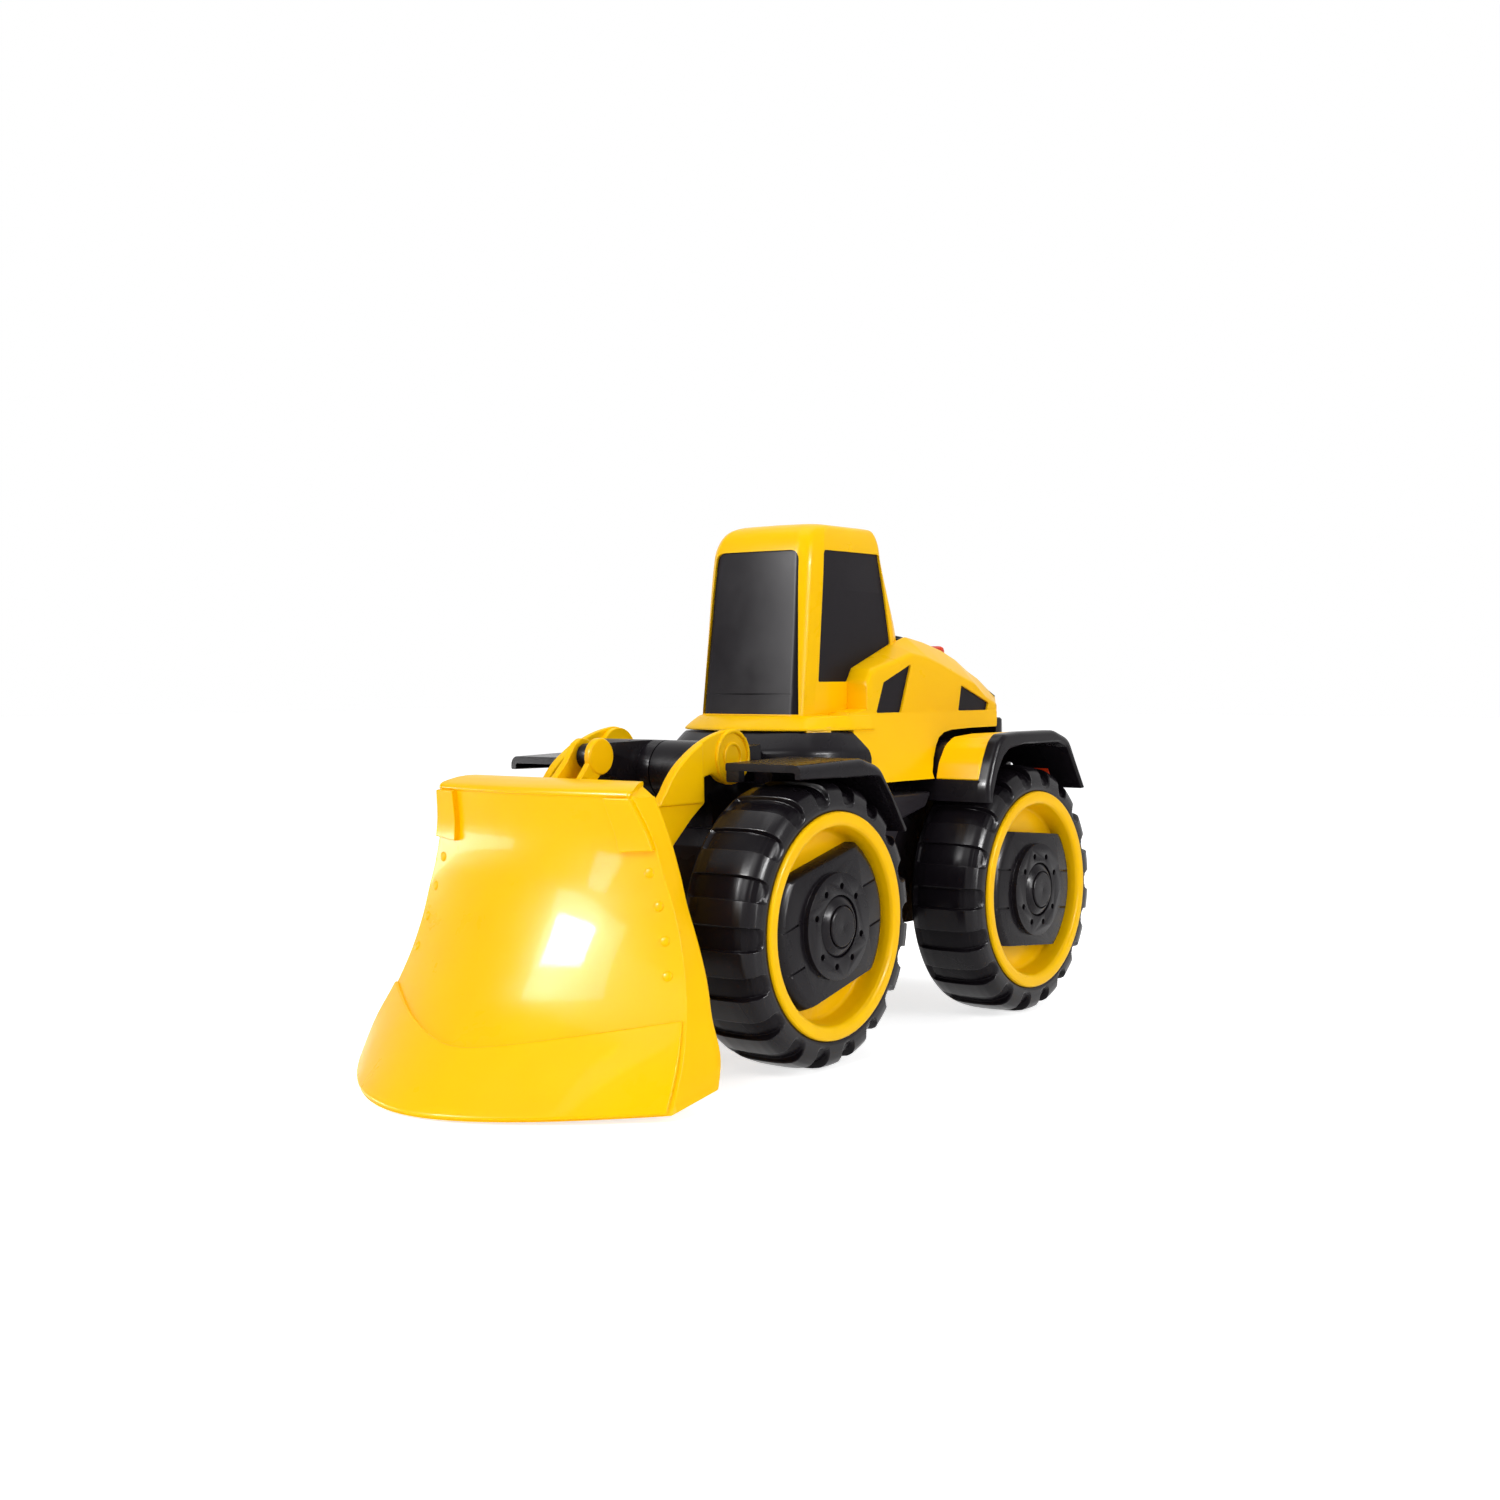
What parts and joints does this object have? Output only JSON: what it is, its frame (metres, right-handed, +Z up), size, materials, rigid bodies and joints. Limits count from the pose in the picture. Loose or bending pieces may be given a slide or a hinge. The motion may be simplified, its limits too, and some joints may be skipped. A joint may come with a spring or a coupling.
{
  "type": "toy bulldozer",
  "caption": "Wheeled toy bulldozer with a cab, a bowed dozer blade on lifting arms with a tilt link, mudguards and free-rolling wheels with deep rims.",
  "frame": {"origin": "on the ground, under the middle of the toy's length and width", "axes": "+Z up, the blade points to -Y, the toy's left side is +X"},
  "size_m": [0.1524, 0.3695, 0.2058],
  "materials": {
    "yellow_plastic": "moulded, glossy",
    "black_plastic": "moulded, satin",
    "tyre_rubber": "soft plastic, satin",
    "steel": "drawn rod",
    "red_plastic": "moulded, glossy",
    "grey_plastic": "moulded, satin",
    "window_black": "fine satin"
  },
  "bodies": {
    "chassis": {"lower_chassis": "black_plastic", "upper_chassis": "black_plastic", "chassis_screws": "steel", "rear_bumper": "black_plastic", "cab_shell": "yellow_plastic", "windshield": "window_black", "rear_window": "window_black", "side_window_left": "window_black", "side_window_right": "window_black", "body_shell": "yellow_plastic", "front_vent_left": "window_black", "front_vent_right": "window_black", "rear_vent_left": "window_black", "rear_vent_right": "window_black", "beacon_bar": "red_plastic", "engine_deck": "black_plastic", "rear_grille": "black_plastic", "side_step_left": "grey_plastic", "side_step_right": "grey_plastic", "front_fender_left": "black_plastic", "front_fender_right": "black_plastic", "rear_fender_left": "yellow_plastic", "rear_fender_right": "yellow_plastic", "rear_fender_lip_left": "black_plastic", "rear_fender_lip_right": "black_plastic", "tail_lamp_left": "red_plastic", "tail_lamp_right": "red_plastic", "front_axle_shaft": "steel", "rear_axle_shaft": "steel", "axle_retainers": "steel", "link_pin": "steel"},
    "front_left_wheel": {"front_left_tyre": "tyre_rubber", "front_left_rim": "yellow_plastic", "front_left_hub_bar": "black_plastic", "front_left_hub_cap": "black_plastic"},
    "front_right_wheel": {"front_right_tyre": "tyre_rubber", "front_right_rim": "yellow_plastic", "front_right_hub_bar": "black_plastic", "front_right_hub_cap": "black_plastic"},
    "rear_left_wheel": {"rear_left_tyre": "tyre_rubber", "rear_left_rim": "yellow_plastic", "rear_left_hub_bar": "black_plastic", "rear_left_hub_cap": "black_plastic"},
    "rear_right_wheel": {"rear_right_tyre": "tyre_rubber", "rear_right_rim": "yellow_plastic", "rear_right_hub_bar": "black_plastic", "rear_right_hub_cap": "black_plastic"},
    "lift_arms": {"lift_arm_left": "yellow_plastic", "lift_arm_right": "yellow_plastic", "arm_pivot_pins": "steel", "arm_cross_brace": "yellow_plastic"},
    "blade_unit": {"blade": "yellow_plastic", "blade_hinge_pin": "steel", "blade_eye_pin": "steel"},
    "link_unit": {"tilt_link": "black_plastic"}
  },
  "joints": [
    {"name": "front_left_wheel_spin", "type": "hinge", "parent": "chassis", "child": "front_left_wheel", "pos_m": [0.054, -0.03785, 0.053], "axis": [1, 0, 0], "continuous": true},
    {"name": "front_right_wheel_spin", "type": "hinge", "parent": "chassis", "child": "front_right_wheel", "pos_m": [-0.054, -0.03785, 0.053], "axis": [1, 0, 0], "continuous": true},
    {"name": "rear_left_wheel_spin", "type": "hinge", "parent": "chassis", "child": "rear_left_wheel", "pos_m": [0.054, 0.11215, 0.053], "axis": [1, 0, 0], "continuous": true},
    {"name": "rear_right_wheel_spin", "type": "hinge", "parent": "chassis", "child": "rear_right_wheel", "pos_m": [-0.054, 0.11215, 0.053], "axis": [1, 0, 0], "continuous": true},
    {"name": "arm_lift", "type": "hinge", "parent": "chassis", "child": "lift_arms", "pos_m": [0, -0.04855, 0.1143], "axis": [-1, 0, 0], "range_deg": [0, 35]},
    {"name": "blade_tilt", "type": "hinge", "parent": "lift_arms", "child": "blade_unit", "pos_m": [0, -0.10585, 0.066], "axis": [-1, 0, 0], "range_deg": [0, 6.65]},
    {"name": "link_swivel", "type": "hinge", "parent": "chassis", "child": "link_unit", "pos_m": [0, -0.05955, 0.1091], "axis": [-1, 0, 0], "range_deg": [0, 41.75]}
  ],
  "couplings": [
    {"joint": "blade_tilt", "follows": "arm_lift", "ratio": 0.19},
    {"joint": "link_swivel", "follows": "arm_lift", "ratio": 1.1925}
  ]
}
